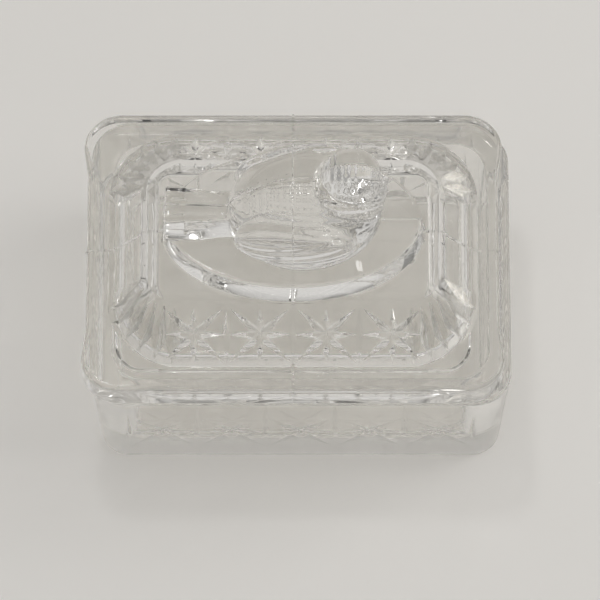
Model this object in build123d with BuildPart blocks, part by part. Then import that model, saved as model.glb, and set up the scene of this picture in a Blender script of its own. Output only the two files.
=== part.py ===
"""A rectangular glass well with a lift-off lid that carries a bird finial.

Millimetres, +Z up, with the origin under the middle of the whole object, on the surface it stands on.
+X runs along the length, the way the bird faces. Each of the two pieces is one glass pressing.
"""
import os
from math import atan2, cos, degrees, radians, sin, tan

from build123d import *

# Plan shared by the rims of both pieces
rim_length = 95.0
rim_width = 70.0
rim_corner = 8.5

# Base: the well
base_height = 31.5
base_draft = 3.7  # degrees; the walls lean in towards the foot
foot_round = 1.2
mouth_length = 84.0
mouth_width = 59.0
mouth_corner = 7.0
well_draft = 2.0  # degrees
well_floor = 6.0  # thickness of glass under the well
well_floor_round = 4.0

# How the lid sits: its locating rim hangs in the mouth, pushed along -X to the end of its play
lid_play = 2.0  # clearance round the locating rim, with the lid in the middle
lid_shift = 1.7  # how far off the middle the lid was set down
locating_depth = 2.5
locating_wall = 3.0

# Lid: flange and the sloping band that rises from it
flange_height = 7.5
flange_round = 1.4
band_foot_length = 82.0
band_foot_width = 57.5
band_foot_corner = 16.0
band_height = 9.5
band_top_length = 66.8
band_top_width = 36.8
band_top_corner = 8.0
disc_height = 6.0
disc_length = 60.4
disc_width = 36.2
disc_draft = 8.0  # degrees
disc_round = 0.8

# Lid: the hollow under the dome
hollow_straight = 5.0  # upright part above the flange's underside
hollow_roof = 14.5  # height of the hollow's roof above the flange's underside
hollow_corner = 11.2
hollow_roof_length = 61.0  # it narrows to its roof above the upright part
hollow_roof_width = 30.6
hollow_roof_corner = 3.0

# Bird finial, measured from the top of the disc
body_middle = 3.0
body_length = 35.0
body_girth = 26.4  # across the egg, whose lower part is sunk in the disc
body_axis_height = 4.7
neck_forward = 11.0
neck_radius = 9.0
neck_top_radius = 4.6
head_forward = 13.0
head_height = 20.5  # of the head's middle
head_radius = 6.2
beak_length = 4.6
beak_radius = 2.2
beak_tip_radius = 0.6
beak_sunk = 1.0  # how far the beak starts inside the head
tail_reach = 28.8  # how far behind the middle the tail ends
tail_root = 10.0  # how far behind the middle it starts, inside the body
tail_root_width = 8.5
tail_end_width = 12.0
tail_root_height = 5.5
tail_end_height = 8.0
tail_end_lift = 1.6  # clear height under the tail's end
join_depth = 1.0  # how far pieces of one pressing run into each other

# Pressed stars
star_pitch = 14.8
star_ray = 12.4  # length of a groove, from tip to tip
star_groove = 0.9  # side of the square bar that cuts a groove
star_rays = 4  # grooves that cross at each star
end_star_pitch = 14.8

# Levels and places worked out from the sizes above
seat = base_height
flange_top = seat + flange_height
band_top = flange_top + band_height
disc_top = band_top + disc_height
base_x = lid_shift / 2
lid_x = -lid_shift / 2
locating_length = mouth_length - 2 * lid_play
locating_width = mouth_width - 2 * lid_play
locating_corner = mouth_corner - lid_play + 1.0
hollow_length = locating_length - 2 * locating_wall
hollow_width = locating_width - 2 * locating_wall
body_axis = disc_top + body_axis_height
head_axis = disc_top + head_height
band_run = (band_foot_width - band_top_width) / 2  # how far the long slopes lean in over their height
band_lean = degrees(atan2(band_run, band_height))  # from upright
stars_on_length = int((band_foot_length - 2 * band_foot_corner) // star_pitch) + 1
base_stars_on_length = int((rim_length - 2 * rim_corner) // star_pitch)
base_stars_on_width = int((rim_width - 2 * rim_corner) // end_star_pitch)


def leaning_plane(middle, outward, lean):
    """A plane on a wall that faces along outward and leans in by lean degrees from upright. Its x runs level."""
    out = Vector(*outward)
    up = Vector(0, 0, 1)
    normal = out * cos(radians(lean)) + up * sin(radians(lean))
    return Plane(origin=middle, x_dir=out.cross(up) * -1, z_dir=normal)


def cut_stars(walls, pitch, count):
    """Cuts a row of stars into each wall of the part being built."""
    with Locations(*walls):
        with GridLocations(pitch, 1, count, 1):
            with PolarLocations(0, star_rays, angular_range=180):
                Box(star_ray, star_groove, star_groove, rotation=(45, 0, 0), mode=Mode.SUBTRACT)


def base_walls(outwards, reach):
    """Planes at half height on the base's walls, for walls that far out at the rim."""
    inset = base_height / 2 * tan(radians(base_draft))
    middles = [Vector(*out) * (reach - inset) + Vector(base_x, 0, base_height / 2) for out in outwards]
    return [leaning_plane(middle, out, -base_draft) for middle, out in zip(middles, outwards)]


# The well
with BuildPart() as base:
    with BuildSketch(Plane.XY.offset(seat)):
        with Locations((base_x, 0)):
            RectangleRounded(rim_length, rim_width, rim_corner)
    extrude(amount=-base_height, taper=base_draft)
    fillet(base.faces().sort_by(Axis.Z)[0].edges(), foot_round)
    with BuildSketch(Plane.XY.offset(seat)):
        with Locations((base_x, 0)):
            RectangleRounded(mouth_length, mouth_width, mouth_corner)
    extrude(amount=-(base_height - well_floor), taper=well_draft, mode=Mode.SUBTRACT)
    fillet(base.faces().filter_by(Axis.Z).sort_by(Axis.Z)[1].edges(), well_floor_round)
    cut_stars(base_walls([(0, 1, 0), (0, -1, 0)], rim_width / 2), star_pitch, base_stars_on_length)
    cut_stars(base_walls([(1, 0, 0), (-1, 0, 0)], rim_length / 2), end_star_pitch, base_stars_on_width)

# The bird, made where it stands on the disc and cut off just under the disc's top, where it joins the lid
with BuildPart() as bird:
    with BuildSketch(Plane.XZ):
        with Locations((lid_x + body_middle, body_axis)):
            Ellipse(body_length / 2, body_girth / 2)
            Rectangle(body_length, body_girth, align=(Align.CENTER, Align.MAX), mode=Mode.SUBTRACT)
    revolve(axis=Axis((0, 0, body_axis), (1, 0, 0)))
    with Locations((lid_x + neck_forward, 0, body_axis)):
        Cone(neck_radius, neck_top_radius, head_axis - body_axis, align=(Align.CENTER, Align.CENTER, Align.MIN))
    with Locations((lid_x + head_forward, 0, head_axis)):
        Sphere(head_radius)
    with Locations((lid_x + head_forward + head_radius - beak_sunk, 0, head_axis)):
        Cone(beak_radius, beak_tip_radius, beak_length, rotation=(0, 90, 0),
             align=(Align.CENTER, Align.CENTER, Align.MIN))
    with BuildSketch(Plane.YZ.offset(lid_x - tail_root)):
        with Locations((0, disc_top - join_depth)):
            Rectangle(tail_root_width, tail_root_height + join_depth, align=(Align.CENTER, Align.MIN))
    with BuildSketch(Plane.YZ.offset(lid_x - tail_reach)):
        with Locations((0, disc_top + tail_end_lift)):
            Rectangle(tail_end_width, tail_end_height - tail_end_lift, align=(Align.CENTER, Align.MIN))
    loft()
    split(bisect_by=Plane.XY.offset(disc_top - join_depth), keep=Keep.TOP)

# The lid, from its flange up, then hollowed from below
with BuildPart() as lid:
    with BuildSketch(Plane.XY.offset(seat)):
        with Locations((lid_x, 0)):
            RectangleRounded(rim_length, rim_width, rim_corner)
    extrude(amount=flange_height)
    fillet(lid.faces().sort_by(Axis.Z)[-1].edges(), flange_round)
    with BuildSketch(Plane.XY.offset(seat - locating_depth)):
        with Locations((lid_x, 0)):
            RectangleRounded(locating_length, locating_width, locating_corner)
    extrude(amount=locating_depth)
    with BuildSketch(Plane.XY.offset(flange_top)):
        with Locations((lid_x, 0)):
            RectangleRounded(band_foot_length, band_foot_width, band_foot_corner)
    with BuildSketch(Plane.XY.offset(band_top)):
        with Locations((lid_x, 0)):
            RectangleRounded(band_top_length, band_top_width, band_top_corner)
    loft()
    slope_middle = (flange_top + band_top) / 2
    slope_reach = (band_foot_width - band_run) / 2
    slopes = [
        leaning_plane(Vector(lid_x, side * slope_reach, slope_middle), (0, side, 0), band_lean)
        for side in (-1, 1)
    ]
    cut_stars(slopes, star_pitch, stars_on_length)
    with BuildSketch(Plane.XY.offset(band_top - join_depth)):
        with Locations((lid_x, 0)):
            Ellipse(disc_length / 2, disc_width / 2)
    extrude(amount=disc_height + join_depth, taper=disc_draft)
    fillet(lid.faces().sort_by(Axis.Z)[-1].edges(), disc_round)
    add(bird.part)
    with BuildSketch(Plane.XY.offset(seat - locating_depth)):
        with Locations((lid_x, 0)):
            RectangleRounded(hollow_length, hollow_width, hollow_corner)
    extrude(amount=locating_depth + hollow_straight, mode=Mode.SUBTRACT)
    with BuildSketch(Plane.XY.offset(seat + hollow_straight)):
        with Locations((lid_x, 0)):
            RectangleRounded(hollow_length, hollow_width, hollow_corner)
    with BuildSketch(Plane.XY.offset(seat + hollow_roof)):
        with Locations((lid_x, 0)):
            RectangleRounded(hollow_roof_length, hollow_roof_width, hollow_roof_corner)
    loft(mode=Mode.SUBTRACT)

os.makedirs("parts", exist_ok=True)
for name, piece in (("base", base), ("lid", lid)):
    piece.part.label = name
    export_step(piece.part, f"parts/{name}.step")
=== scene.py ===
"""Looks of a clear pressed-glass inkwell with a lift-off lid and a bird finial, round its CAD frame.

Metres. Sizes that the frame doesn't hold are given in millimetres and multiplied by MM.
"""

from math import atan2, cos, hypot, pi, radians, sin, tan

import bmesh
import bpy
import numpy as np
from mathutils import Euler, Matrix, Vector


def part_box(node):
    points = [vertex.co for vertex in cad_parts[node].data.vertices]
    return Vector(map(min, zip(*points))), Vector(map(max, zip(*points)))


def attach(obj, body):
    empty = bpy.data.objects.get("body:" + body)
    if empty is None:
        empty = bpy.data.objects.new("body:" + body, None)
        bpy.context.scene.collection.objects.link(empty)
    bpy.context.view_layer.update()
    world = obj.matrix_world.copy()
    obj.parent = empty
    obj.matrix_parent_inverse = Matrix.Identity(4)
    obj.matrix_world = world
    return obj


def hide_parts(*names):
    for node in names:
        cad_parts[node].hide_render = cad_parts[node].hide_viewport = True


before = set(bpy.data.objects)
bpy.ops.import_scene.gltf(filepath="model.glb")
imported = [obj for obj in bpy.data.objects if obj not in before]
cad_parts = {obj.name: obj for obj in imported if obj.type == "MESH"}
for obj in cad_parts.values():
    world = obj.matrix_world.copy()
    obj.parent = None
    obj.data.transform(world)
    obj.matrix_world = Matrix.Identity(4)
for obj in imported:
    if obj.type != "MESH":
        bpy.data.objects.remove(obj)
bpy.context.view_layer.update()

MM = 0.001
base_low, base_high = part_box("base")
lid_low, lid_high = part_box("lid")
base_x = (base_low[0] + base_high[0]) / 2
lid_x = (lid_low[0] + lid_high[0]) / 2
seat = base_high[2]
rim_half_x = (lid_high[0] - lid_low[0]) / 2
rim_half_y = (lid_high[1] - lid_low[1]) / 2
base_half_x = (base_high[0] - base_low[0]) / 2
base_half_y = (base_high[1] - base_low[1]) / 2

# Shared
RIM_CORNER = 8.5 * MM
SEAT_GAP = 0.05 * MM  # air between the two pieces of glass
ARC_STEPS = 14  # along a quarter of a rounded corner
SIDE_STEPS = 10  # along half a side
FOOT_STEPS, FLANGE_STEPS, EDGE_STEPS = 6, 5, 4  # over a foot's, the flange's and other roundings
PAST = 1.0 * MM  # how far a cutting solid runs past the mouth that it opens
CREASE = radians(22)  # edges sharper than this stay sharp

# Base
BASE_DRAFT = radians(3.7)
FOOT_ROUND = 1.2 * MM
BASE_EDGE = 0.9 * MM
MOUTH_HALF_X = 42.0 * MM
MOUTH_HALF_Y = 29.5 * MM
MOUTH_CORNER = 7.0 * MM
WELL_DRAFT = radians(2.0)
WELL_FLOOR = 6.0 * MM
WELL_ROUND = 4.0 * MM
MOUTH_FLARE = 0.8 * MM  # the mouth's rounded lip

# Lid: the locating rim and the flange
LID_PLAY = 2.0 * MM
LOCATING_HALF_X = MOUTH_HALF_X - LID_PLAY
LOCATING_HALF_Y = MOUTH_HALF_Y - LID_PLAY
LOCATING_CORNER = MOUTH_CORNER - LID_PLAY + 1.0 * MM
LOCATING_LEAD = 0.6 * MM  # taper at its lowest edge
FLANGE_HEIGHT = 7.5 * MM
FLANGE_EDGE = 1.3 * MM
FLANGE_UNDER = 0.8 * MM  # rounding of its lower edge
FLANGE_NIP = 1.0 * MM  # how far the flange's ends are drawn in between its corners
NIP_HALF_Y = 23.0 * MM
NIP_EASE = 10.0 * MM
NIP_FROM_X = 30.0 * MM  # it starts to draw in here, and is drawn in fully NIP_OVER_X further out
NIP_OVER_X = 17.5 * MM

# Lid: the dome's band, the disc and the hollow; each outline is (half length, half width, corner)
BAND_FOOT = (41.0 * MM, 28.75 * MM, 16.0 * MM)
BAND_TOP = (33.4 * MM, 18.4 * MM, 8.0 * MM)
BAND_HEIGHT = 9.5 * MM
BAND_FILLET = 0.7 * MM
BAND_STEPS = 8
BAND_SETBACK = 0.35  # of a step, left for the fillets at the band's foot and top
DISC_HALF_X = 29.5 * MM
DISC_HALF_Y = 17.9 * MM
DISC_HEIGHT = 6.0 * MM
DISC_LEAN = 0.8 * MM
DISC_EDGE = 0.9 * MM
DISC_FILLET = 0.3 * MM
DISC_RINGS = (0.75, 0.5, 0.25)  # loops on its flat top, as shares of its size
HOLLOW_STRAIGHT = 5.0 * MM
HOLLOW_HEIGHT = 14.5 * MM
HOLLOW_FOOT = (37.0 * MM, 24.5 * MM, 11.2 * MM)
HOLLOW_ROOF = (30.5 * MM, 15.3 * MM, 3.0 * MM)
HOLLOW_LEAD = 0.6 * MM
# Its slope's levels as (share of the slope's height, share of the way to the roof's outline)
HOLLOW_SLOPE_FOOT = ((-0.15, 0.0), (-0.05, 0.01), (0.05, 0.06), (0.15, 0.15))
HOLLOW_SLOPE_HEAD = ((0.5, 0.5), (0.88, 0.88), (0.96, 0.965))
HOLLOW_ROOF_SHARES = (1.03, 1.1)  # the last two levels, as shares of the way to the roof's outline

# Pressed cuts on the base's walls: a row of stars with bars between them
WALL_STARS_LONG, WALL_PITCH_LONG = 5, 15.6 * MM
WALL_STARS_SHORT, WALL_PITCH_SHORT = 3, 16.6 * MM
WALL_STAR_HALF_HEIGHT = 9.2 * MM
WALL_STAR_LEVEL = 0.48  # of the base's height
WALL_STAR_DEPTH = 0.6 * MM
WALL_STAR_WAIST = 3.3 * MM
WALL_STAR_SPAN, WALL_STAR_CORNER_SPAN = 0.97, 0.93  # shares of the star's cell
WALL_BAR_HALF = 0.8 * MM
WALL_BAR_DEPTH = 0.4 * MM

# Pressed cuts on the lid's band
LID_STAR_PITCH = 14.8 * MM
LID_STARS = 4
STAR_DEPTH = 2.4 * MM
STAR_WAIST = 2.5 * MM
STAR_SPAN_ACROSS, STAR_SPAN_UP, STAR_CORNER_SPAN = 0.97, 0.95, 0.9  # shares of the star's cell
RAY_HALF = 0.6 * MM
RAY_DEPTH = 2.2 * MM
RAY_START = 1.2 * MM  # from the star's middle
RAY_SHARE = 0.96  # of the way to its star's tip
RAY_FULLEST = 0.45  # of its length
BAR_HALF = 1.0 * MM
BAR_DEPTH = 1.1 * MM
BAR_SHARE = 0.96  # of the slope's length
BAR_FULLEST = 0.5  # of its length
FAN_LEAVES = 6
FAN_HALF = 2.0 * MM
FAN_DEPTH = 1.0 * MM
FAN_FULLEST = 0.62  # of a leaf's length
FAN_SHARE = 0.98  # of the corner's slope
PANEL_HALF = 11.2 * MM
PANEL_SHARE = 0.38  # half its height, as a share of the slope's length
PANEL_SLOPE = 0.5 * MM
PANEL_DEPTH = 0.4 * MM
SEAM_HALF = 0.32 * MM
SEAM_HEIGHT = 0.30 * MM
SEAM_CLEAR = 1.0 * MM  # the seams start this far above the seat
CUT_MERGE = 1e-7  # points this close to a cutting plane count as on it
ON_PLANE = 1e-6  # a little more, to find those points again

# The bird, in plain millimetres from the disc's top and the middle of the lid
BLOBS = (  # ellipsoids: middle, radii, tilt in degrees
    ((2.6, 0, 4.6), (17.4, 13.8, 13.2), 3),  # belly
    ((9.8, 0, 8.6), (10.2, 11.0, 10.4), 25),  # breast
    ((12.4, 0, 14.8), (8.5, 7.9, 8.8), 10),  # neck
    ((13.0, 0, 20.1), (6.8, 6.4, 6.4), 0),  # head
    ((19.0, 0, 19.6), (3.0, 1.5, 1.6), -12),  # beak
)
TAIL = (  # stations from its end inward: x, half width, low z, high z
    (-28.6, 6.2, 0.6, 7.6),
    (-22.0, 5.6, -0.4, 6.9),
    (-15.5, 4.7, -1.0, 6.4),
    (-6.0, 4.6, -1.0, 8.0),
)
TAIL_TAPER = 0.78  # its top's width, as a share of its bottom's
TAIL_ROOT_X = -15
TAIL_GROOVE_Y, TAIL_GROOVE_DEPTH = 2.9, 0.12
WING_X, WING_Y, WING_Z = 0.5, 9.3, 7.0
WING_RADII = (14.0, 4.6, 7.6)
WING_TILT, WING_TURN = 7, 6  # in degrees
WING_LINE_Z, WING_LINE_HALF_X, WING_LINE_HALF_Z = 8.0, 13.5, 6.6  # the oval groove that outlines a wing
WING_LINE_WIDTH, WING_LINE_DEPTH = 0.24, 0.32  # its width is a share of the oval
WING_REACH_X, WING_FROM_Y = 15, 6
WING_GROOVES_Z, WING_GROOVE_DEPTH = (2.2, -1.0, -4.0), 0.16
WING_GROOVE_RISE = 0.28  # their slope along the wing
GROOVE_WIDTH = 1.2
NECK_Z, NECK_EASE = 12, 2  # small feathers start here, and stand full this much higher
SMALL_FEATHER_HEIGHT, SMALL_FEATHER_SIZE = 0.09, 1.5
SMALL_FEATHER_SPREAD = 6  # turns an angle round the neck into a length
EYE_X, EYE_Z, EYE_FROM_Y = 15.6, 21.6, 3
EYE_DEPTH, EYE_HALF = 0.6, 1.3
EYE_RING_HEIGHT, EYE_RING, EYE_RING_HALF = 0.25, 1.7, 0.7
VOXEL = 0.45  # of the remesh that melts it together
SOFTENING = 12  # rounds of smoothing
SUNK = 0.3  # how far it reaches down into the disc
BLOCK_DEPTH = 40  # more than it reaches down before it is cut flat

flange_top = seat + FLANGE_HEIGHT
band_top = flange_top + BAND_HEIGHT
disc_top = band_top + DISC_HEIGHT


# ---------------------------------------------------------------- mesh helpers


def rounded_loop(half_x, half_y, corner, z, centre_x, nip=0.0):
    """A rounded rectangle's points, anticlockwise from +X. nip draws its ends in between the corners."""
    corner = min(corner, half_x, half_y)
    points = []
    arc_x, arc_y = half_x - corner, half_y - corner
    for i in range(SIDE_STEPS):
        points.append((half_x, arc_y * i / SIDE_STEPS))
    for i in range(ARC_STEPS + 1):
        turn = pi / 2 * i / ARC_STEPS
        points.append((arc_x + corner * cos(turn), arc_y + corner * sin(turn)))
    for i in range(1, SIDE_STEPS):
        points.append((arc_x * (1 - i / SIDE_STEPS), half_y))
    upper = points + [(0.0, half_y)] + [(-x, y) for x, y in reversed(points)]
    lower = [(x, -y) for x, y in reversed(upper[1:-1])]
    return [(centre_x + nipped(x, y, nip), y, z) for x, y in upper + lower]


def nipped(x, y, nip):
    """x drawn in by nip where |y| is under NIP_HALF_Y, with an S-shaped ease at each end."""
    if not nip:
        return x
    t = min(max((NIP_HALF_Y + NIP_EASE / 2 - abs(y)) / NIP_EASE, 0.0), 1.0)
    ease = t * t * (3 - 2 * t)
    reach = max(0.0, abs(x) - NIP_FROM_X) / NIP_OVER_X
    return x - nip * ease * min(reach, 1.0) * (1 if x > 0 else -1)


def rounding(steps):
    """(1 - cos, 1 - sin) at equal steps along a quarter turn, for lofting a rounded edge."""
    turns = [pi / 2 * i / steps for i in range(steps + 1)]
    return [(1 - cos(turn), 1 - sin(turn)) for turn in turns]


def ellipse_loop(half_x, half_y, z, centre_x, like):
    """An ellipse with a point for each point of the loop like, at the same turn."""
    points = []
    for x, y, _ in like:
        turn = atan2(y / half_y, (x - centre_x) / half_x)
        points.append((centre_x + half_x * cos(turn), half_y * sin(turn), z))
    return points


def between(first, second, share):
    """Sizes that are share of the way from first to second."""
    return [start + (end - start) * share for start, end in zip(first, second)]


def loft(name, loops):
    """A closed solid through loops of equal length, from the lowest face to the last one."""
    mesh = bpy.data.meshes.new(name)
    count = len(loops[0])
    vertices = [point for loop in loops for point in loop]
    faces = [tuple(range(count - 1, -1, -1))]
    for level in range(len(loops) - 1):
        low, high = level * count, (level + 1) * count
        for i in range(count):
            j = (i + 1) % count
            faces.append((low + i, low + j, high + j, high + i))
    last = (len(loops) - 1) * count
    faces.append(tuple(range(last, last + count)))
    mesh.from_pydata(vertices, [], faces)
    return new_object(name, mesh)


def new_object(name, mesh):
    """A new object in the scene for the mesh."""
    mesh.validate()
    mesh.update()
    piece = bpy.data.objects.new(name, mesh)
    bpy.context.scene.collection.objects.link(piece)
    return piece


def apply_modifiers(piece):
    """Turns the piece's modifiers into its mesh."""
    bpy.context.view_layer.update()
    seen = piece.evaluated_get(bpy.context.evaluated_depsgraph_get())
    result = bpy.data.meshes.new_from_object(seen)
    piece.modifiers.clear()
    old = piece.data
    piece.data = result
    bpy.data.meshes.remove(old)


def boolean(target, tool, operation):
    """Applies one boolean to target, and removes the tool."""
    change = target.modifiers.new("boolean", "BOOLEAN")
    change.operation = operation
    change.solver = "MANIFOLD"
    change.object = tool
    apply_modifiers(target)
    spent = tool.data
    bpy.data.objects.remove(tool)
    bpy.data.meshes.remove(spent)


class Cutters:
    """Closed solids gathered in one mesh. Each is placed on a plane: origin, across, up and out."""

    LIFT = 2.0 * MM  # how far a cutter stands out of the surface that it cuts

    def __init__(self, name):
        self.name, self.vertices, self.faces = name, [], []

    def add(self, plane, points, faces):
        """One closed solid, its points given as (a, b, c) along across, up and out."""
        origin, across, up, out = plane
        start = len(self.vertices)
        self.vertices += [origin + across * a + up * b + out * c for a, b, c in points]
        self.faces += [tuple(start + i for i in face) for face in faces]

    def pit(self, plane, outline, deepest):
        """A pit with flat facets from the outline down to one deepest point, given as (a, b, depth)."""
        count = len(outline)
        a, b, depth = deepest
        points = [(*corner, 0.0) for corner in outline] + [(*corner, self.LIFT) for corner in outline]
        points += [(a, b, -depth), (a, b, self.LIFT)]
        faces = []
        for i in range(count):
            j = (i + 1) % count
            faces.append((2 * count, j, i))
            faces.append((i, j, count + j, count + i))
            faces.append((count + i, count + j, 2 * count + 1))
        self.add(plane, points, faces)

    def tray(self, plane, half_a, half_b, slope, depth):
        """A flat-bottomed recess with sloping sides."""
        points = []
        for grow, c in ((-slope, -depth), (0.0, 0.0), (0.0, self.LIFT)):
            for a, b in ((-1, -1), (1, -1), (1, 1), (-1, 1)):
                points.append((a * (half_a + grow), b * (half_b + grow), c))
        faces = [(3, 2, 1, 0), (8, 9, 10, 11)]
        for level in (0, 4):
            for i in range(4):
                j = (i + 1) % 4
                faces.append((level + i, level + j, level + 4 + j, level + 4 + i))
        self.add(plane, points, faces)

    def make(self):
        """The gathered solids as one object."""
        mesh = bpy.data.meshes.new(self.name)
        mesh.from_pydata(self.vertices, [], self.faces)
        return new_object(self.name, mesh)


def star_outline(reach_a, reach_b, reach_corner, waist):
    """A star's outline: rays to its cell's sides and corners, with waists between them."""
    corner_turn = atan2(reach_b, reach_a)
    rays = []
    for quarter in range(4):
        side_turn = quarter * pi / 2
        even = quarter % 2 == 0
        diagonal = side_turn + (corner_turn if even else pi / 2 - corner_turn)
        rays += [(side_turn, reach_a if even else reach_b), (diagonal, reach_corner)]
    points = []
    for i, (turn, reach) in enumerate(rays):
        following = rays[(i + 1) % len(rays)][0] + (2 * pi if i == len(rays) - 1 else 0)
        middle = (turn + following) / 2
        points += [(reach * cos(turn), reach * sin(turn)), (waist * cos(middle), waist * sin(middle))]
    return points


def kite(length, half_width, fullest):
    """A groove's outline, its tips at b = 0 and b = length, widest at fullest of the length."""
    return [(0.0, 0.0), (half_width, fullest * length), (0.0, length), (-half_width, fullest * length)]


def swell(mesh, amount):
    """Moves each vertex out along its normal by amount(places), in metres."""
    places = np.empty(len(mesh.vertices) * 3)
    normals = np.empty(len(mesh.vertices) * 3, dtype=np.float32)
    mesh.vertices.foreach_get("co", places)
    mesh.vertex_normals.foreach_get("vector", normals)
    places = places.reshape(-1, 3)
    places = places + normals.reshape(-1, 3) * amount(places)
    mesh.vertices.foreach_set("co", places.ravel())
    mesh.update()


def smooth_with_creases(piece):
    """Smooth shading with crisp edges, where big faces lead their edges' normals and so look flat."""
    piece.data.polygons.foreach_set("use_smooth", [True] * len(piece.data.polygons))
    piece.data.set_sharp_from_angle(angle=CREASE)
    weigh = piece.modifiers.new("weigh", "WEIGHTED_NORMAL")
    weigh.mode = "FACE_AREA"
    weigh.weight = 100
    weigh.keep_sharp = True
    apply_modifiers(piece)


# ---------------------------------------------------------------- the base


def base_outline(z, inset=0.0):
    """The base's outer loop at height z, leaned in by its draft."""
    lean = (seat - z) * tan(BASE_DRAFT) + inset
    return rounded_loop(base_half_x - lean, base_half_y - lean, RIM_CORNER - lean, z, base_x)


def base_solid():
    """The base's outside, from its foot up to its rim."""
    foot = [base_outline(FOOT_ROUND * up, FOOT_ROUND * inward) for up, inward in rounding(FOOT_STEPS)]
    wall = [base_outline(seat * share) for share in (0.3, 0.55, 0.8)]
    edge = rounding(EDGE_STEPS)
    rim = [base_outline(seat - BASE_EDGE * drop, BASE_EDGE * inward) for inward, drop in edge]
    return loft("glass_base", foot + wall + rim)


def well_solid():
    """The cavity, as a solid to cut out of the base."""

    def loop(z, inset):
        lean = (seat - z) * tan(WELL_DRAFT) + inset
        return rounded_loop(MOUTH_HALF_X - lean, MOUTH_HALF_Y - lean, MOUTH_CORNER - lean, z, base_x)

    edge = rounding(FOOT_STEPS)
    loops = [loop(WELL_FLOOR + WELL_ROUND * up, WELL_ROUND * inset) for up, inset in edge]
    loops.append(loop(seat - MOUTH_FLARE, 0.0))
    loops.append(loop(seat - MOUTH_FLARE / 4, -MOUTH_FLARE / 4))
    loops.append(loop(seat, -MOUTH_FLARE))
    loops.append(loop(seat + PAST, -MOUTH_FLARE - 0.1 * MM))
    return loft("well", loops)


def wall_plane(centre_x, out, reach, z, lean):
    """A plane on a wall facing along out, which leans back by lean from upright. b runs up the wall."""
    outward = Vector((out[0], out[1], 0.0))
    normal = outward * cos(lean) + Vector((0, 0, sin(lean)))
    up = Vector((0, 0, cos(lean))) - outward * sin(lean)
    across = up.cross(normal)
    return Vector((centre_x, 0, z)) + outward * reach, across, up, normal


def base_cutters():
    """Stars and bars for the base's four walls."""
    stars, bars = Cutters("base_stars"), Cutters("base_bars")
    middle = seat * WALL_STAR_LEVEL
    lean_at_middle = (seat - middle) * tan(BASE_DRAFT)
    walls = [((0, side), base_half_y, WALL_STARS_LONG, WALL_PITCH_LONG) for side in (1, -1)]
    walls += [((side, 0), base_half_x, WALL_STARS_SHORT, WALL_PITCH_SHORT) for side in (1, -1)]
    half_height = WALL_STAR_HALF_HEIGHT
    bar = kite(2 * half_height, WALL_BAR_HALF, BAR_FULLEST)
    for out, half, count, pitch in walls:
        origin, across, up, normal = wall_plane(base_x, out, half - lean_at_middle, middle, -BASE_DRAFT)
        reach_across, reach_up = pitch / 2 * WALL_STAR_SPAN, half_height * WALL_STAR_SPAN
        reach_corner = hypot(pitch / 2, half_height) * WALL_STAR_CORNER_SPAN
        outline = star_outline(reach_across, reach_up, reach_corner, WALL_STAR_WAIST)
        for i in range(count):
            place = origin + across * (i - (count - 1) / 2) * pitch
            stars.pit((place, across, up, normal), outline, (0.0, 0.0, WALL_STAR_DEPTH))
        for i in range(count + 1):
            place = origin + across * (i - count / 2) * pitch - up * half_height
            bars.pit((place, across, up, normal), bar, (0.0, half_height, WALL_BAR_DEPTH))
    return stars, bars


def make_base():
    """The well: its outside, less the pressed cuts and the cavity."""
    piece = base_solid()
    for cutters in base_cutters():
        boolean(piece, cutters.make(), "DIFFERENCE")
    boolean(piece, well_solid(), "DIFFERENCE")
    smooth_with_creases(piece)
    return piece


# ---------------------------------------------------------------- the lid


def lid_solid():
    """The lid without its hollow or its cuts, from the locating rim up to the disc."""
    under = seat + SEAT_GAP

    def locating(inset, z):
        return rounded_loop(LOCATING_HALF_X - inset, LOCATING_HALF_Y - inset, LOCATING_CORNER, z, lid_x)

    def flange(inset, z):
        sizes = (rim_half_x - inset, rim_half_y - inset, RIM_CORNER - inset)
        return rounded_loop(*sizes, z, lid_x, FLANGE_NIP)

    loops = [locating(LOCATING_LEAD, lid_low[2])]
    loops.append(locating(0.1 * MM, lid_low[2] + 0.5 * MM))
    loops.append(locating(0.0, under))
    loops.append(flange(FLANGE_UNDER, under))
    loops.append(flange(0.15 * MM, under + 0.35 * MM))
    loops.append(flange(0.0, under + 0.9 * MM))
    for inward, drop in rounding(FLANGE_STEPS):
        loops.append(flange(FLANGE_EDGE * inward, flange_top - FLANGE_EDGE * drop))
    loops.append(rounded_loop(*[size + BAND_FILLET for size in BAND_FOOT], flange_top, lid_x))
    for i in range(1, BAND_STEPS):
        share = (i - BAND_SETBACK) / (BAND_STEPS - 2 * BAND_SETBACK)
        sizes = between(BAND_FOOT, BAND_TOP, share)
        loops.append(rounded_loop(*sizes, flange_top + BAND_HEIGHT * share, lid_x))
    half_x, half_y, corner = BAND_TOP
    top_loop = rounded_loop(half_x - BAND_FILLET / 2, half_y - BAND_FILLET / 2, corner, band_top, lid_x)

    def disc(inset, z, share=1.0):
        return ellipse_loop(DISC_HALF_X * share - inset, DISC_HALF_Y * share - inset, z, lid_x, top_loop)

    loops.append(top_loop)
    loops.append(disc(-DISC_FILLET, band_top))
    loops.append(disc(0.1 * MM, band_top + 0.4 * MM))
    for inward, drop in rounding(EDGE_STEPS):
        loops.append(disc(DISC_LEAN + DISC_EDGE * inward, disc_top - DISC_EDGE * drop))
    for share in DISC_RINGS:
        loops.append(disc(0.0, disc_top, share))
    return loft("glass_lid", loops)


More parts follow.
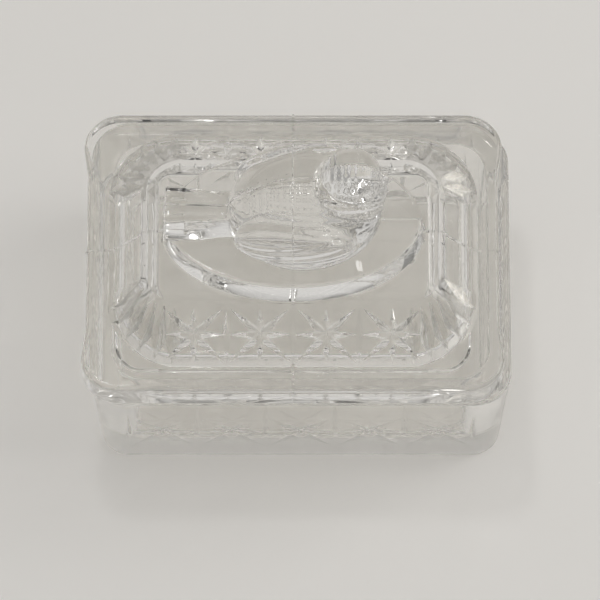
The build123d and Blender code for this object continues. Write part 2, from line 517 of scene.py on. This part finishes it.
def hollow_solid():
    """The lid's hollow, as a solid to cut out of it."""
    mouth, straight, roof = lid_low[2], seat + HOLLOW_STRAIGHT, seat + HOLLOW_HEIGHT

    def loop(z, share, grow=0.0):
        """A level of the hollow, share of the way from its foot's outline to its roof's."""
        half_x, half_y, corner = between(HOLLOW_FOOT, HOLLOW_ROOF, share)
        return rounded_loop(half_x + grow, half_y + grow, corner + grow, z, lid_x)

    loops = [loop(mouth - PAST, 0.0, HOLLOW_LEAD + 0.1 * MM)]
    loops.append(loop(mouth, 0.0, HOLLOW_LEAD))
    loops.append(loop(mouth + HOLLOW_LEAD, 0.0))
    for rise, share in HOLLOW_SLOPE_FOOT + HOLLOW_SLOPE_HEAD:
        loops.append(loop(straight + (roof - straight) * rise, share))
    for drop, share in zip((0.1 * MM, 0.0), HOLLOW_ROOF_SHARES):
        loops.append(loop(roof - drop, share))
    return loft("hollow", loops)


def band_cutters():
    """Stars on the two long slopes, bars between them, fans round the corners, and the end panels."""
    kinds = ("stars", "rays", "bars", "fans", "panels")
    stars, rays, bars, fans, panels = (Cutters(f"lid_{kind}") for kind in kinds)
    run = BAND_FOOT[1] - BAND_TOP[1]
    lean, length = atan2(run, BAND_HEIGHT), hypot(run, BAND_HEIGHT)
    reach_across, reach_up = LID_STAR_PITCH / 2 * STAR_SPAN_ACROSS, length / 2 * STAR_SPAN_UP
    reach_corner = hypot(LID_STAR_PITCH, length) / 2 * STAR_CORNER_SPAN
    outline = star_outline(reach_across, reach_up, reach_corner, STAR_WAIST)
    bar_length = length * BAR_SHARE
    bar = kite(bar_length, BAR_HALF, BAR_FULLEST)
    level = flange_top + BAND_HEIGHT / 2
    for side in (-1, 1):
        origin, across, up, normal = wall_plane(lid_x, (0, side), BAND_FOOT[1] - run / 2, level, lean)
        for i in range(LID_STARS):
            place = origin + across * (i - (LID_STARS - 1) / 2) * LID_STAR_PITCH
            stars.pit((place, across, up, normal), outline, (0.0, 0.0, STAR_DEPTH))
            for tip_a, tip_b in outline[::2]:
                out_along = (across * tip_a + up * tip_b).normalized()
                ray_length = hypot(tip_a, tip_b) * RAY_SHARE - RAY_START
                plane = (place + out_along * RAY_START, out_along.cross(normal), out_along, normal)
                ray = kite(ray_length, RAY_HALF, RAY_FULLEST)
                rays.pit(plane, ray, (0.0, ray_length * RAY_FULLEST, RAY_DEPTH))
        for i in range(LID_STARS + 1):
            place = origin + across * (i - LID_STARS / 2) * LID_STAR_PITCH - up * bar_length / 2
            bars.pit((place, across, up, normal), bar, (0.0, bar_length / 2, BAR_DEPTH))
    for side_x in (-1, 1):
        for side_y in (-1, 1):
            corner_fan(fans, side_x, side_y)
    end_run = BAND_FOOT[0] - BAND_TOP[0]
    end_lean, end_length = atan2(end_run, BAND_HEIGHT), hypot(end_run, BAND_HEIGHT)
    for side in (-1, 1):
        plane = wall_plane(lid_x, (side, 0), BAND_FOOT[0] - end_run / 2, level, end_lean)
        panels.tray(plane, PANEL_HALF, end_length * PANEL_SHARE, PANEL_SLOPE, PANEL_DEPTH)
    return stars, rays, bars, fans, panels


def corner_fan(fans, side_x, side_y):
    """Leaf-shaped grooves that run down the band's rounded corner, spread evenly over its turn."""
    for i in range(FAN_LEAVES):
        turn = pi / 2 * (i + 0.5) / FAN_LEAVES
        ends = []
        for (half_x, half_y, corner), z in ((BAND_TOP, band_top), (BAND_FOOT, flange_top)):
            x = half_x - corner + corner * cos(turn)
            y = half_y - corner + corner * sin(turn)
            ends.append(Vector((lid_x + side_x * x, side_y * y, z)))
        head, foot = ends
        down = (foot - head).normalized()
        across = Vector((-side_x * sin(turn), side_y * cos(turn), 0.0)).normalized()
        normal = down.cross(across)
        if normal.z < 0:
            normal, across = -normal, -across
        length = (foot - head).length
        leaf = kite(length * FAN_SHARE, FAN_HALF, FAN_FULLEST)
        start = head + down * length * (1 - FAN_SHARE) / 2
        fans.pit((start, across, down, normal), leaf, (0.0, length * FAN_FULLEST, FAN_DEPTH))


def raise_seam(piece, axis, at):
    """Raises a little ridge where the plane across the axis cuts the outside, like a mould seam."""
    builder = bmesh.new()
    builder.from_mesh(piece.data)
    across = Vector([float(i == axis) for i in range(3)])
    for aside in (-SEAM_HALF, SEAM_HALF, 0.0):
        everything = builder.verts[:] + builder.edges[:] + builder.faces[:]
        middle = across * (at + aside)
        bmesh.ops.bisect_plane(
            builder, geom=everything, dist=CUT_MERGE, plane_co=middle, plane_no=across
        )
    builder.normal_update()
    for vertex in builder.verts:
        if abs(vertex.co[axis] - at) < ON_PLANE and vertex.co.z > seat + SEAM_CLEAR:
            vertex.co += vertex.normal * SEAM_HEIGHT
    builder.to_mesh(piece.data)
    builder.free()


def make_lid():
    """The cover: its outside, less the pressed cuts, with the bird and the seams on it, less the hollow."""
    piece = lid_solid()
    for cutters in band_cutters():
        boolean(piece, cutters.make(), "DIFFERENCE")
    boolean(piece, make_bird(), "UNION")
    raise_seam(piece, 0, lid_x)
    raise_seam(piece, 1, 0.0)
    boolean(piece, hollow_solid(), "DIFFERENCE")
    smooth_with_creases(piece)
    return piece


# ---------------------------------------------------------------- the bird


def blob(builder, middle, radii, tilt=0.0, turn=0.0):
    """Adds an ellipsoid to a bmesh. tilt lifts its +X end, turn swings it to +Y, in degrees."""
    spin = Euler((0, radians(-tilt), radians(turn))).to_matrix().to_4x4()
    size = Matrix.Diagonal((*[radius * MM for radius in radii], 1.0))
    place = Matrix.Translation(Vector(middle) * MM) @ spin @ size
    bmesh.ops.create_icosphere(builder, subdivisions=4, radius=1.0, matrix=place)


def wedge(builder, stations):
    """Adds a block through stations (x, half width, low z, high z) from one end to the other."""
    rings = []
    for x, half, low, high in stations:
        top_half = half * TAIL_TAPER
        corners = ((-half, low), (half, low), (top_half, high), (-top_half, high))
        rings.append([builder.verts.new(Vector((x, y, z)) * MM) for y, z in corners])
    builder.faces.new(rings[0][::-1])
    builder.faces.new(rings[-1])
    for first, second in zip(rings, rings[1:]):
        for i in range(4):
            j = (i + 1) % 4
            builder.faces.new((first[i], first[j], second[j], second[i]))


def make_bird():
    """The finial: a plump bird with folded wings and a blunt tail, melted together like pressed glass."""
    builder = bmesh.new()
    for middle, radii, tilt in BLOBS:
        blob(builder, middle, radii, tilt)
    for side in (-1, 1):
        blob(builder, (WING_X, side * WING_Y, WING_Z), WING_RADII, WING_TILT, side * WING_TURN)
    wedge(builder, TAIL)
    bmesh.ops.recalc_face_normals(builder, faces=builder.faces)
    mesh = bpy.data.meshes.new("bird")
    builder.to_mesh(mesh)
    builder.free()
    piece = new_object("bird", mesh)
    melt = piece.modifiers.new("melt", "REMESH")
    melt.mode = "VOXEL"
    melt.voxel_size = VOXEL * MM
    soften = piece.modifiers.new("soften", "SMOOTH")
    soften.factor = 0.5
    soften.iterations = SOFTENING
    apply_modifiers(piece)
    shape = piece.data
    swell(shape, feather_heights)
    shape.transform(Matrix.Translation((lid_x, 0, disc_top)))
    boolean(piece, block_below(disc_top - SUNK * MM), "DIFFERENCE")
    return piece


def block_below(top):
    """A wide block whose top face is at height top."""
    block = Cutters("below")
    corners = [(x, y, z) for z in (top - BLOCK_DEPTH * MM, top) for y in (-1, 1) for x in (-1, 1)]
    faces = [(0, 2, 3, 1), (4, 5, 7, 6), (0, 1, 5, 4), (2, 6, 7, 3), (0, 4, 6, 2), (1, 3, 7, 5)]
    upright = (Vector((0, 0, 0)), Vector((1, 0, 0)), Vector((0, 1, 0)), Vector((0, 0, 1)))
    block.add(upright, corners, faces)
    return block.make()


def ridge(value, width):
    """1 at value 0, falling to 0 at width either side."""
    t = min(abs(value) / width, 1.0)
    return (1 - t) * (1 - t) * (1 + 2 * t)


def feather_heights(places):
    """The feathers' relief at each of the bird's vertices, in metres."""
    return np.array([feathers(x, abs(y), z) for x, y, z in places / MM])[:, None] * MM


def feathers(x, y, z):
    """How far the bird's surface stands out at a point. Everything here is in millimetres."""
    out = 0.0
    if x < TAIL_ROOT_X:  # one shallow groove on each side of the tail's top
        out -= TAIL_GROOVE_DEPTH * ridge(y - TAIL_GROOVE_Y, GROOVE_WIDTH)
    if y > WING_FROM_Y and abs(x) < WING_REACH_X:
        out -= wing_grooves(x - WING_X, z - WING_LINE_Z)
    if z > NECK_Z:  # small feathers on the head and neck
        height = SMALL_FEATHER_HEIGHT * min((z - NECK_Z) / NECK_EASE, 1.0)
        round_it = SMALL_FEATHER_SPREAD * atan2(y, z - NECK_Z)
        one_way = sin(pi * (x + round_it) / SMALL_FEATHER_SIZE)
        other_way = sin(pi * (x - round_it) / SMALL_FEATHER_SIZE)
        out += height * one_way * other_way
    if y > EYE_FROM_Y:
        from_eye = hypot(x - EYE_X, z - EYE_Z)
        out -= EYE_DEPTH * ridge(from_eye, EYE_HALF)
        out += EYE_RING_HEIGHT * ridge(from_eye - EYE_RING, EYE_RING_HALF)
    return out


def wing_grooves(along, above):
    """How deep a wing's grooves are at a point given from the middle of its outline."""
    oval = (along / WING_LINE_HALF_X) ** 2 + (above / WING_LINE_HALF_Z) ** 2
    depth = WING_LINE_DEPTH * ridge(oval - 1.0, WING_LINE_WIDTH)
    if oval < 1.0:
        level = above - WING_GROOVE_RISE * along
        depth += WING_GROOVE_DEPTH * sum(ridge(level - groove, GROOVE_WIDTH) for groove in WING_GROOVES_Z)
    return depth


# ---------------------------------------------------------------- materials


GLASS_COLOUR = (0.946, 0.942, 0.929, 1)
GLASS_IOR = 1.52
WAVE_SCALE, WAVE_HEIGHT = 60, 0.14 * MM
SKIN_SCALE, SKIN_HEIGHT = 620, 0.003 * MM
TEXTURE_DETAIL = 2.0
HAZE = 0.02  # the most roughness that the waves give
HAZE_FROM, HAZE_FULL = 0.35, 0.75  # of the waves' height
SCUFF = 0.45  # roughness of the rest face
SCUFF_FULL_BELOW, SCUFF_NONE_ABOVE = 0.1 * MM, 0.4 * MM
FLOOR_COLOUR = (0.92, 0.905, 0.88, 1)
FLOOR_ROUGHNESS = 0.8


def node(tree, kind, **values):
    """A new node, with its properties set."""
    made = tree.nodes.new(kind)
    for key, value in values.items():
        setattr(made, key, value)
    return made


def noise_texture(tree, place, scale):
    """Noise fixed to the object. scale is in bumps a metre."""
    texture = node(tree, "ShaderNodeTexNoise")
    texture.inputs["Scale"].default_value = scale
    texture.inputs["Detail"].default_value = TEXTURE_DETAIL
    tree.links.new(place.outputs["Object"], texture.inputs["Vector"])
    return texture


def map_range(tree, value, from_low, from_high, to_low, to_high):
    """A node that maps value from one range to another, and stops at the ends."""
    mapped = node(tree, "ShaderNodeMapRange")
    mapped.inputs["From Min"].default_value = from_low
    mapped.inputs["From Max"].default_value = from_high
    mapped.inputs["To Min"].default_value = to_low
    mapped.inputs["To Max"].default_value = to_high
    tree.links.new(value, mapped.inputs["Value"])
    return mapped


def bump(tree, height, distance):
    """A bump node whose full height is distance, in metres."""
    made = node(tree, "ShaderNodeBump")
    made.inputs["Strength"].default_value = 1.0
    made.inputs["Distance"].default_value = distance
    tree.links.new(height, made.inputs["Height"])
    return made


def glass_material(name):
    """Clear pressed glass: slow waves left by the press, a fine skin, and faint haze that varies."""
    material = bpy.data.materials.new(name)
    material.use_nodes = True
    tree = material.node_tree
    shader = tree.nodes["Principled BSDF"]
    shader.inputs["Base Color"].default_value = GLASS_COLOUR
    shader.inputs["Transmission Weight"].default_value = 1.0
    shader.inputs["IOR"].default_value = GLASS_IOR
    place = node(tree, "ShaderNodeTexCoord")
    waves = noise_texture(tree, place, WAVE_SCALE)
    skin = noise_texture(tree, place, SKIN_SCALE)
    haze = map_range(tree, waves.outputs["Fac"], HAZE_FROM, HAZE_FULL, 0.0, HAZE)
    split = node(tree, "ShaderNodeSeparateXYZ")
    tree.links.new(place.outputs["Object"], split.inputs["Vector"])
    # The rest face is scuffed by use
    worn = map_range(tree, split.outputs["Z"], SCUFF_FULL_BELOW, SCUFF_NONE_ABOVE, SCUFF, 0.0)
    either = node(tree, "ShaderNodeMath", operation="MAXIMUM")
    tree.links.new(haze.outputs["Result"], either.inputs[0])
    tree.links.new(worn.outputs["Result"], either.inputs[1])
    tree.links.new(either.outputs["Value"], shader.inputs["Roughness"])
    slow = bump(tree, waves.outputs["Fac"], WAVE_HEIGHT)
    fine = bump(tree, skin.outputs["Fac"], SKIN_HEIGHT)
    tree.links.new(slow.outputs["Normal"], fine.inputs["Normal"])
    tree.links.new(fine.outputs["Normal"], shader.inputs["Normal"])
    return material


def floor_material():
    material = bpy.data.materials.new("floor")
    material.use_nodes = True
    shader = material.node_tree.nodes["Principled BSDF"]
    shader.inputs["Base Color"].default_value = FLOOR_COLOUR
    shader.inputs["Roughness"].default_value = FLOOR_ROUGHNESS
    return material


# ---------------------------------------------------------------- stage, lights and camera

CAMERA_ELEVATION = radians(63.6)
CAMERA_DISTANCE = 1.5
VIEW_WIDTH = 134.8 * MM  # of the picture, at the distance of the point looked at
LOOK_AT = (lid_x + 1.57 * MM, -12.5 * MM, flange_top)
SENSOR = 36.0
CAMERA_SEES = 20  # how far, in metres
FLOOR_REACH = 3.0
FLOOR_DROP = 0.05 * MM  # under the rest face
SKY_COLOUR = (1.0, 0.985, 0.96, 1)
SKY_DARK_BELOW, SKY_BRIGHT_ABOVE = 0.18, 0.75  # the sine of the height above the horizon
SKY_DARK, SKY_BRIGHT = 0.02, 0.70
LIGHTS_AIM = (0, 0, 0.03)
WINDOW = {"place": (0.85, 0.16, 0.55), "size": (0.7, 0.5), "power": 2.2, "colour": (1, 0.99, 0.97)}
OVERHEAD = {"place": (-0.10, 0.22, 0.75), "size": (0.08, 0.08), "power": 0.32, "colour": (1, 1, 1)}
GLASS_BOUNCES, DIFFUSE_BOUNCES = 32, 6
INDIRECT_CLAMP = 8.0


def aim(thing, at):
    """Turns a camera or a light towards a point."""
    thing.rotation_euler = (Vector(at) - thing.location).to_track_quat("-Z", "Y").to_euler()


def add_camera():
    """A long lens from the front and well above."""
    data = bpy.data.cameras.new("camera")
    camera = bpy.data.objects.new("camera", data)
    bpy.context.scene.collection.objects.link(camera)
    target = Vector(LOOK_AT)
    away = Vector((0, -cos(CAMERA_ELEVATION), sin(CAMERA_ELEVATION)))
    camera.location = target + away * CAMERA_DISTANCE
    aim(camera, target)
    data.sensor_width = SENSOR
    data.lens = SENSOR * CAMERA_DISTANCE / VIEW_WIDTH
    data.clip_end = CAMERA_SEES
    bpy.context.scene.camera = camera


def add_light(name, place, size, power, colour):
    """A rectangular light aimed at the object. size is its two sides, power is in watts."""
    data = bpy.data.lights.new(name, "AREA")
    data.shape = "RECTANGLE"
    data.size, data.size_y = size
    data.energy = power
    data.color = colour
    light = bpy.data.objects.new(name, data)
    light.location = place
    bpy.context.scene.collection.objects.link(light)
    aim(light, LIGHTS_AIM)


def add_floor():
    mesh = bpy.data.meshes.new("floor")
    signs = ((-1, -1), (1, -1), (1, 1), (-1, 1))
    corners = [(a * FLOOR_REACH, b * FLOOR_REACH, -FLOOR_DROP) for a, b in signs]
    mesh.from_pydata(corners, [], [(0, 1, 2, 3)])
    floor = new_object("floor", mesh)
    mesh.materials.append(floor_material())


def add_sky():
    """A sky that is dim near the horizon and brighter overhead."""
    world = bpy.data.worlds.new("world")
    bpy.context.scene.world = world
    world.use_nodes = True
    tree = world.node_tree
    background = tree.nodes["Background"]
    background.inputs["Color"].default_value = SKY_COLOUR
    place = node(tree, "ShaderNodeTexCoord")
    split = node(tree, "ShaderNodeSeparateXYZ")
    tree.links.new(place.outputs["Generated"], split.inputs["Vector"])
    rise = map_range(tree, split.outputs["Z"], SKY_DARK_BELOW, SKY_BRIGHT_ABOVE, SKY_DARK, SKY_BRIGHT)
    tree.links.new(rise.outputs["Result"], background.inputs["Strength"])


def add_stage():
    add_floor()
    add_sky()
    add_light("window", **WINDOW)
    add_light("overhead", **OVERHEAD)
    cycles = bpy.context.scene.cycles
    cycles.max_bounces = GLASS_BOUNCES
    cycles.glossy_bounces = GLASS_BOUNCES
    cycles.transmission_bounces = GLASS_BOUNCES
    cycles.diffuse_bounces = DIFFUSE_BOUNCES
    cycles.blur_glossy = 0.0  # keeps all the light that sharp glass focuses
    cycles.sample_clamp_indirect = INDIRECT_CLAMP
    bpy.context.scene.view_settings.view_transform = "Standard"


# ---------------------------------------------------------------- put together

add_camera()
add_stage()
glass = glass_material("clear_glass")
base = make_base()
lid = make_lid()
for piece, body, stood_for in ((base, "well", "base"), (lid, "cover", "lid")):
    piece.data.materials.clear()
    piece.data.materials.append(glass)
    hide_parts(stood_for)
    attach(piece, body)
